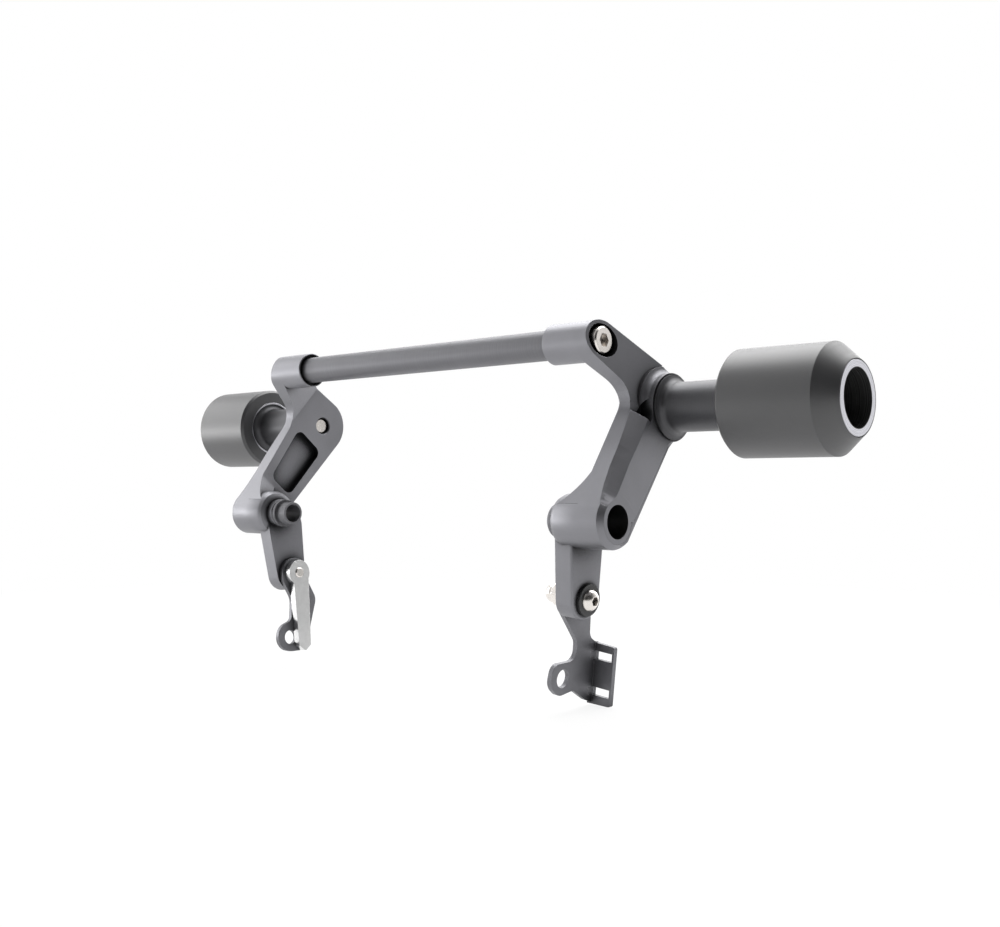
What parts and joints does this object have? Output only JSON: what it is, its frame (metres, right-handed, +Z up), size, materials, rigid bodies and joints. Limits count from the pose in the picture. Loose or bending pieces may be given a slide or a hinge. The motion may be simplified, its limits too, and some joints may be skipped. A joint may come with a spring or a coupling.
{
  "type": "motorcycle frame slider set",
  "caption": "Pair of machined brackets with round crash bobbins on posts, joined by a crossbar above, each with a frame bolt boss, a lug and a small sheet bracket for the fairing below.",
  "frame": {"origin": "centre of the overall box, on the middle plane between the two sides", "axes": "+X to the right side along the crossbar, +Y to the back of the motorcycle, +Z up"},
  "size_m": [0.4666, 0.0838, 0.185],
  "materials": {
    "anodised_bracket": "satin",
    "bar_black": "satin",
    "post_black": "satin",
    "bobbin_polymer": "satin",
    "core_metal": "machined",
    "bolt_steel": "bright",
    "washer_black": "satin",
    "sleeve_metal": "satin",
    "sheet_black": "powder coat",
    "strap_steel": "bright"
  },
  "bodies": {
    "root": {"crossbar": "bar_black", "right_bracket": "anodised_bracket", "right_crossbar_bolt": "bolt_steel", "right_post": "post_black", "right_bobbin": "bobbin_polymer", "right_bobbin_core": "core_metal", "right_bobbin_washer": "bolt_steel", "right_bobbin_bolt": "bolt_steel", "right_tab_bolt": "bolt_steel", "right_tab_washer": "washer_black", "right_fairing_bracket": "sheet_black", "left_bracket": "anodised_bracket", "left_crossbar_bolt": "bolt_steel", "left_post": "post_black", "left_bobbin": "bobbin_polymer", "left_bobbin_core": "core_metal", "left_bobbin_washer": "bolt_steel", "left_bobbin_bolt": "bolt_steel", "left_tab_bolt": "bolt_steel", "left_tab_washer": "washer_black", "left_fairing_bracket": "sheet_black", "right_tab_nut": "bolt_steel", "left_frame_sleeve": "sleeve_metal", "left_hanger_strap": "strap_steel"}
  },
  "joints": []
}
